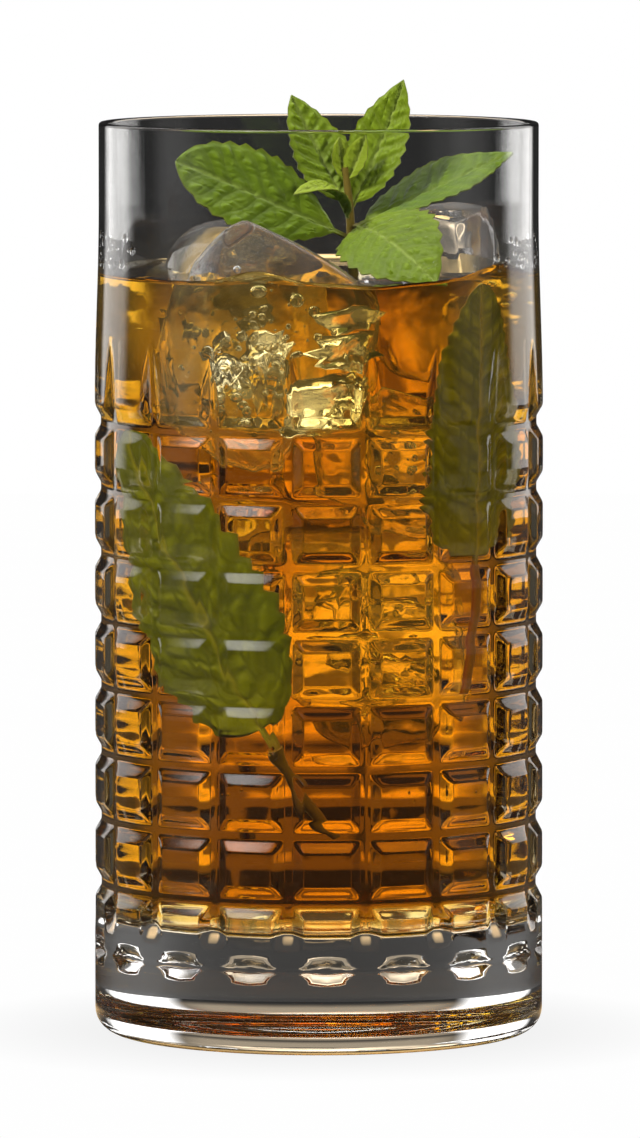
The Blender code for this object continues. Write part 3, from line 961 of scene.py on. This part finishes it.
# cracks that throw the light from above towards the front: place, normal, size
SUNK_CRACKS = (
    ((0.0035, -0.0130, 0.0760), (-0.16, -0.57, 0.81), 0.0046),
    ((0.0110, -0.0125, 0.0720), (0.12, -0.58, 0.80), 0.0040),
    ((0.0045, -0.0130, 0.0655), (-0.05, -0.60, 0.80), 0.0050),
    ((0.0120, -0.0120, 0.0620), (0.22, -0.55, 0.80), 0.0038),
    ((0.0070, -0.0125, 0.0565), (-0.10, -0.57, 0.81), 0.0036),
)
BRIGHT_CRACKS = (
    ((0.0035, -0.0165, 0.1150), (-0.15, -0.56, 0.82), 0.0050),
    ((0.0015, -0.0175, 0.1075), (-0.10, -0.58, 0.81), 0.0058),
    ((-0.0030, -0.0170, 0.1030), (0.10, -0.55, 0.83), 0.0042),
    ((-0.0130, -0.0170, 0.1120), (0.45, -0.50, 0.74), 0.0045),
    ((0.0046, -0.0172, 0.1203), (-0.22, -0.58, 0.79), 0.0042),
    ((0.0052, -0.0160, 0.1095), (-0.30, -0.55, 0.78), 0.0038),
    ((-0.0075, -0.0160, 0.1145), (-0.50, -0.62, 0.60), 0.0038),
)


def bright_cracks(cracks, seed):
    """Cracks from a table, as hollows."""
    return [
        facing(crack(place, normal, size, BRIGHT_THICK, seed + number), False)
        for number, (place, normal, size) in enumerate(cracks)
    ]


def front_ice_insides():
    """The bubbles and the bright cracks that show in the front block."""
    draw = random.Random(12)
    hollows = []
    for x, z, radius in ICE_BEADS:
        centre = (x, BEAD_DEPTH + draw.uniform(0.0, 0.003), z)
        squash = [draw.uniform(0.85, 1.1) for _ in range(3)]
        hollows.append(facing(ball(centre, radius, 12, 20, squash), False))
    return hollows + bright_cracks(BRIGHT_CRACKS, 40)


def make_ice():
    surface = clear_surface(
        "wet_ice", ior=1.31, colour=(0.99, 0.99, 0.99), roughness=(0.0, 0.04),
        ripple_scale=140.0, ripple=0.00034, fine_scale=900.0, milk=(0.0, 0.06),
    )
    for number, (name, block) in enumerate(ICE_BLOCKS.items()):
        insides = ice_insides(block, *ICE_INSIDES[name], INSIDES_SEED + SEED_STEP * number)
        shells = [melted_block(block, ICE_CELLS)] + insides
        if name == "ice_front_left":
            shells += front_ice_insides()
        obj = mesh_object("melting_" + name, merged(shells), surface, ICE_CREASE)
        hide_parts(name)
        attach(obj, "root")
    shells = []
    for number, block in enumerate(SUNK_ICE.values()):
        insides = ice_insides(block, *SUNK_INSIDES, SUNK_SEED + SEED_STEP * number)
        shells += [melted_block(block, SUNK_CELLS)] + insides
    shells += bright_cracks(SUNK_CRACKS, 60)
    obj = mesh_object("sunk_ice", merged(shells), surface, ICE_CREASE)
    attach(obj, "root")


# Drink


def surface_height(radius, angles):
    """Height of the drink's surface: level in the middle, drawn up in waves along the wall."""
    rise = np.zeros(angles.shape)
    for middle, width, height in CONTACT_WAVES:
        away = (np.degrees(angles) - middle + 180) % 360 - 180
        rise += height * np.exp(-((away / width) ** 2))
    inwards = inner_radius(LEVEL) + WALL_OVERLAP - radius
    edge = MENISCUS * np.exp(-inwards / MENISCUS_REACH)
    return LEVEL - MENISCUS + edge + rise * np.exp(-((inwards / WAVE_REACH) ** 2))


def make_drink():
    angles = turns(DRINK_SIDES)
    wall = inner_radius(LEVEL) + WALL_OVERLAP
    steps = np.linspace(INNER_WALL_Z, LEVEL - 0.002, INNER_RINGS)
    rings = [ring(r, z, angles) for r, z in inside_profile(steps, WALL_OVERLAP)]
    for inwards in SURFACE_RINGS:
        radius = wall - inwards
        rings.append(ring(radius, surface_height(radius, angles), angles))
    surface = clear_surface(
        "amber_drink", ior=1.34, colour=DRINK_TINT, roughness=(0.02, 0.06),
        ripple_scale=90.0, ripple=0.00003, fine_scale=300.0, absorb=DRINK_ABSORB,
    )
    drink = mesh_object("iced_drink", facing(skinned(rings)), surface)
    cutters = []
    for name, block in ICE_BLOCKS.items():
        cutter = mesh_object("cut_" + name, melted_block(block, ICE_CELLS, -ICE_OVERLAP), surface)
        cut = drink.modifiers.new("cut", "BOOLEAN")
        cut.operation, cut.object, cut.solver = "DIFFERENCE", cutter, "MANIFOLD"
        cutters.append(cutter)
    graph = bpy.context.evaluated_depsgraph_get()
    cut_mesh = bpy.data.meshes.new_from_object(drink.evaluated_get(graph))
    cut_mesh.calc_loop_triangles()
    points = np.zeros(len(cut_mesh.vertices) * 3)
    cut_mesh.vertices.foreach_get("co", points)
    triangles = np.zeros(len(cut_mesh.loop_triangles) * 3, dtype=int)
    cut_mesh.loop_triangles.foreach_get("vertices", triangles)
    for obj in [*cutters, drink]:
        bpy.data.objects.remove(obj)
    shells = [(points.reshape(-1, 3), triangles.reshape(-1, 3))]
    for block in SUNK_ICE.values():
        shells.append(facing(melted_block(block, SUNK_CELLS, -ICE_OVERLAP), False))
    draw = random.Random(5)
    for _ in range(AIR_COUNT):
        angle, z = draw.uniform(*AIR_ANGLE), draw.uniform(*AIR_HEIGHT)
        place = round_axis(inner_radius(z) - draw.uniform(*AIR_DEPTH), angle, z)
        shells.append(facing(ball(place, draw.uniform(*AIR_RADIUS), 6, 8), False))
    drink = mesh_object("iced_drink", merged(shells), surface, DRINK_CREASE)
    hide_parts("drink")
    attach(drink, "root")


# Mint


def leaf_profile(share, widest, fullness=LEAF_FULLNESS):
    """Half the width along a leaf, 0 to 1, without its teeth."""
    x = np.clip((share - PETIOLE_SHARE) / (1 - PETIOLE_SHARE), 1e-9, 1 - 1e-9)
    rising = (x / widest) ** (fullness[0] * widest)
    falling = ((1 - x) / (1 - widest)) ** (fullness[1] * (1 - widest))
    return np.where((share <= PETIOLE_SHARE) | (share >= 1), 0.0, rising * falling)


def leaf_rows(teeth, fine):
    """(share of the length, tooth height) along a leaf, with points between the teeth's own."""
    marks = [(0.0, 0.0), (PETIOLE_SHARE, 0.0)]
    step = (1 - PETIOLE_SHARE) / (teeth + LAST_TOOTH)
    for tooth in range(teeth):
        start = PETIOLE_SHARE + tooth * step
        marks.append((start + TOOTH_NOTCH * step, 0.0))
        marks.append((start + TOOTH_PEAK * step, 1.0))
    marks.append((1.0, 0.0))
    rows = []
    for (s0, t0), (s1, t1) in zip(marks, marks[1:]):
        count = max(2, round((s1 - s0) / step * fine))
        for k in range(count):
            rows.append((s0 + (s1 - s0) * k / count, t0 + (t1 - t0) * k / count))
    rows.append(marks[-1])
    return np.array(rows)


def leaf_relief(x, y, half, length, seed):
    """(height, vein, dome) over a leaf, with x along the midrib and y across, in metres."""
    spacing = length / VEINS
    side = np.where(y > 0, 0.0, 0.5)
    forward = x - VEIN_LEAN * np.abs(y) - VEIN_CURVE * y * y
    phase = forward / spacing + side + 0.12 * np.sin(x * 900 + seed)
    to_vein = np.abs((phase + 0.5) % 1 - 0.5) * 2
    between = np.clip(to_vein, 0, 1) ** 0.7
    cell = spacing * BLISTER_SIZE
    near, second = cell_noise(forward / cell, np.abs(y) * 1.15 / cell + 40 * (y > 0), seed)
    blister = smooth((second - near) / BLISTER_EDGE)
    dome = between * (0.35 + 0.65 * blister)
    rib = np.exp(-((y / RIB_HALF) ** 2))
    inside = smooth((half - np.abs(y)) / 0.0009) * smooth(x / (0.14 * length))
    height = (DOME_HEIGHT * dome - RIB_DEPTH * rib) * inside
    vein = np.maximum(np.exp(-((to_vein * spacing / 2) / VEIN_HALF) ** 2) * 0.35, rib)
    return height, np.clip(vein, 0, 1), dome


def leaf_sheet(place, leaf, length, seed, fine, across, fullness=LEAF_FULLNESS):
    """Closed leaf: (points, triangles, look, side).

    place maps (share, across, y, half width, lift) to points.
    """
    rows = leaf_rows(leaf.teeth, fine)
    a = np.linspace(-1, 1, across)
    share, over = np.meshgrid(rows[:, 0], a, indexing="ij")
    tooth = np.broadcast_to(rows[:, 1][:, None], share.shape)
    half = np.maximum(
        leaf.width / 2 * leaf_profile(share, leaf.widest, fullness), PETIOLE_HALF * (1 - share)
    )
    outer = smooth((np.abs(over) - 0.72) / 0.28)
    y = over * half * (1 + TOOTH_DEPTH * tooth * outer)
    height, vein, dome = leaf_relief(share * length, y, half, length, seed)
    thick = LEAF_THICK[0] + LEAF_THICK[1] * smooth((1 - np.abs(over)) / 0.2)
    sheets = [place(share, over, y, half, height + sign * thick) for sign in (1, -1)]
    count, wide = share.shape
    points = np.concatenate([s.reshape(-1, 3) for s in sheets])
    i, j = np.meshgrid(np.arange(count - 1), np.arange(wide - 1), indexing="ij")
    p = (i * wide + j).ravel()
    top = quads(p, p + 1, p + wide + 1, p + wide)
    total = count * wide
    loop = list(range(wide)) + [i * wide + wide - 1 for i in range(1, count)]
    loop += [(count - 1) * wide + j for j in range(wide - 2, -1, -1)]
    loop += [i * wide for i in range(count - 2, 0, -1)]
    loop = np.array(loop)
    after = np.roll(loop, -1)
    rim = quads(loop, loop + total, after + total, after)
    triangles = np.concatenate([top, top[:, ::-1] + total, rim])
    near_base = smooth(1 - share / 0.30)
    tone = np.clip(leaf.yellow + 0.35 * near_base, 0, 1)
    petiole = smooth(1 - share / 0.10) * 0.7
    edge = smooth((np.abs(over) - 0.95) / 0.05) * 0.35
    ones = np.ones(share.shape)
    look = np.stack([vein, dome, tone, ones], -1).reshape(-1, 4)
    sides = []
    for under in (0.0, 1.0):
        sides.append(np.stack([ones * under, petiole, edge, ones], -1).reshape(-1, 4))
    return points, triangles, np.concatenate([look, look]), np.concatenate(sides)


def sprig_place(leaf):
    base = np.array(leaf.base)
    along = np.array(leaf.tip) - base
    side = unit(np.cross(np.array(leaf.look), along))
    normal = unit(np.cross(along, side))

    def place(share, over, y, half, lift):
        middle = base + along * share[..., None]
        rise = leaf.bow * 4 * share * (1 - share) + leaf.fold * half * np.abs(over) ** 1.3
        wave = LEAF_WAVE * half * np.sin(LEAF_WAVES * share + 2 * over) * over * over
        return middle + side * y[..., None] + normal * (rise + wave + lift)[..., None]

    return place, float(np.linalg.norm(along))


def stem_tube(points, start_radius, taper, sides=14, steps=6):
    """Tapering tube through points, with look and side colours."""
    points = np.array(points)
    spots = []
    last = len(points) - 1
    for k in range(last * steps + 1):
        t = k / steps
        i = min(int(t), last - 1)
        f = t - i
        before, after = points[max(i - 1, 0)], points[min(i + 2, last)]
        a, b = points[i], points[i + 1]
        spots.append(0.5 * (2 * a + (b - before) * f + (2 * before - 5 * a + 4 * b - after) * f**2
                            + (3 * a - before - 3 * b + after) * f**3))
    rings = []
    sines, cosines = np.sin(turns(sides))[:, None], np.cos(turns(sides))[:, None]
    for k, spot in enumerate(spots):
        ahead = spots[min(k + 1, len(spots) - 1)] - spots[max(k - 1, 0)]
        ahead = Vector(ahead).normalized()
        u = ahead.cross(Vector((0, 1, 0))).normalized()
        v = ahead.cross(u)
        radius = start_radius * (1 - taper * k / (len(spots) - 1))
        rings.append(spot + radius * (cosines * np.array(u) + sines * np.array(v)))
    shell_points, triangles = facing(skinned(rings))
    count = len(shell_points)
    look = np.tile(STEM_LOOK, (count, 1))
    side = np.tile(STEM_SIDE, (count, 1))
    return shell_points, triangles, look, side


def leaf_object(name, parts, surface):
    obj = mesh_object(name, merged([part[:2] for part in parts]), surface, LEAF_CREASE)
    for key, place in (("look", 2), ("side", 3)):
        layer = obj.data.color_attributes.new(key, "FLOAT_COLOR", "POINT")
        layer.data.foreach_set("color", np.concatenate([p[place] for p in parts]).ravel())
    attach(obj, "root")
    return obj


def make_sprig():
    parts = []
    for number, leaf in enumerate(LEAVES.values()):
        place, length = sprig_place(leaf)
        if length < SMALL_LEAF:
            grid = (5, 27)
        elif leaf.width < SMALL_LEAF:
            grid = (9, 51)
        else:
            grid = (12, 63)
        parts.append(leaf_sheet(place, leaf, length, number + 3, *grid))
    parts.append(stem_tube(STEM_POINTS, STEM_RADIUS, STEM_TAPER))
    sprig = leaf_object("mint_leaves", parts, mint_surface("fresh_mint", SPRIG_TINT))
    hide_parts("mint_sprig")


# leaves pressed to the wall under the surface: base and tip are (degrees from -Y, height)
SunkLeaf = namedtuple("SunkLeaf", "base tip radius width widest teeth stem_end yellow fullness")
SUNK_LEAVES = {name: SunkLeaf(*row) for name, *row in (
    ("right",
     (49.5, 0.0788), (50.5, 0.1262), 0.0330, 0.0204, 0.42, 19, (0.0225, -0.0220, 0.0592), 0.0,
     (0.42, 0.95)),
    ("left",
     (12.0, 0.0495), (65.5, 0.1015), 0.0328, 0.0240, 0.46, 14, (0.0027, -0.0250, 0.0354), 0.08,
     (0.9, 1.2)),
)}


def sunk_place(leaf, side):
    start = np.array([math.radians(leaf.base[0]) * leaf.radius, leaf.base[1]])
    along = np.array([math.radians(leaf.tip[0]) * leaf.radius, leaf.tip[1]]) - start
    length = float(np.linalg.norm(along))
    across = np.array([along[1], -along[0]]) / length

    def place(share, over, y, half, lift):
        spot = start + along * share[..., None] + across * y[..., None]
        ripple = 0.0006 * np.sin(share * 11 + over * 3) * over * over
        radius = leaf.radius - 0.0008 * (1 - share) + lift + ripple
        angle = spot[..., 0] / leaf.radius * side
        return np.stack(round_axis(radius, angle, spot[..., 1]), -1)

    return place, length


def make_sunk_leaves():
    for number, (name, leaf) in enumerate(SUNK_LEAVES.items()):
        side = -1 if name == "left" else 1
        place, length = sunk_place(leaf, side)
        points, triangles, *tones = leaf_sheet(
            place, leaf, length, number + 21, *SUNK_GRID, leaf.fullness
        )
        zero = np.zeros(1)
        foot = place(zero + 0.02, zero, zero, zero, zero)[0]
        end = np.array(leaf.stem_end)
        middle = (foot + end) / 2 + np.array([0.0006 * side, 0.0, 0.0])
        stem = stem_tube([foot, middle, end], SUNK_STEM_RADIUS, SUNK_STEM_TAPER)
        surface = mint_surface("sunk_mint_" + name, SUNK_TINTS[name])
        sheet = (*facing((points, triangles)), *tones)
        leaf_object("sunk_mint_" + name, [sheet, stem], surface)


# Droplets

# on each leaf that has them: how many, seed, range along it and across it
LEAF_DROPLETS = {
    "front": (26, 5, (0.30, 0.92), (0.05, 0.85)),
    "left": (10, 9, (0.35, 0.85), (-0.7, 0.7)),
}
WALL_DROPLETS = ((-86, -58, 34), (54, 86, 34))  # on the inside of the wall: degrees, count
WALL_DROPLET_Z = (LEVEL + 0.0016, 0.0050)  # the lowest, and how far the highest are above it
WALL_DROPLET_RADIUS = (0.00022, 0.0006)
LEAF_DROPLET_RADIUS = (0.00022, 0.00045)  # the least, and how far the largest go past it
LEAF_DROPLET_LIFT = 0.00025


def make_droplets():
    draw = random.Random(77)
    shells = []
    for start, end, count in WALL_DROPLETS:
        for _ in range(count):
            angle = math.radians(draw.uniform(start, end))
            z = WALL_DROPLET_Z[0] + WALL_DROPLET_Z[1] * draw.random() ** 2
            radius = draw.uniform(*WALL_DROPLET_RADIUS)
            centre = round_axis(inner_radius(z), angle, z)
            shells.append(facing(ball(centre, radius, 8, 12, (1, 1, draw.uniform(1.0, 1.7)))))
    for name, (count, seed, along, across) in LEAF_DROPLETS.items():
        leaf = LEAVES[name]
        place, _ = sprig_place(leaf)
        draw = random.Random(seed)
        for _ in range(count):
            share = np.array([draw.uniform(*along)])
            over = np.array([draw.uniform(*across)])
            half = leaf_profile(share, leaf.widest) * leaf.width / 2
            centre = place(share, over, over * half, half, LEAF_DROPLET_LIFT)[0]
            radius = LEAF_DROPLET_RADIUS[0] + LEAF_DROPLET_RADIUS[1] * draw.random() ** 2
            shells.append(facing(ball(centre, radius, 8, 12, (1, 0.9, 1))))
    surface = clear_surface(
        "droplets", ior=1.33, colour=(1, 1, 1), roughness=(0.0, 0.02),
        ripple_scale=300.0, ripple=0.00002, fine_scale=900.0,
    )
    droplets = mesh_object("droplets", merged(shells), surface)
    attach(droplets, "root")


# Light paths

# enough bounces for glass in front of ice in a drink, and no more
LIGHT_PATHS = {
    "max_bounces": 14, "transmission_bounces": 14, "transparent_max_bounces": 14,
    "glossy_bounces": 6, "diffuse_bounces": 2, "sample_clamp_indirect": 6.0,
    "caustics_reflective": False, "caustics_refractive": False, "adaptive_threshold": 0.12,
}


def set_light_paths():
    for key, value in LIGHT_PATHS.items():
        setattr(bpy.context.scene.cycles, key, value)
    bpy.context.scene.view_settings.view_transform = "Standard"


make_camera()
set_light_paths()
make_world()
make_floor()
make_card()
make_lights()
make_glass()
make_ice()
make_drink()
make_sprig()
make_sunk_leaves()
make_droplets()
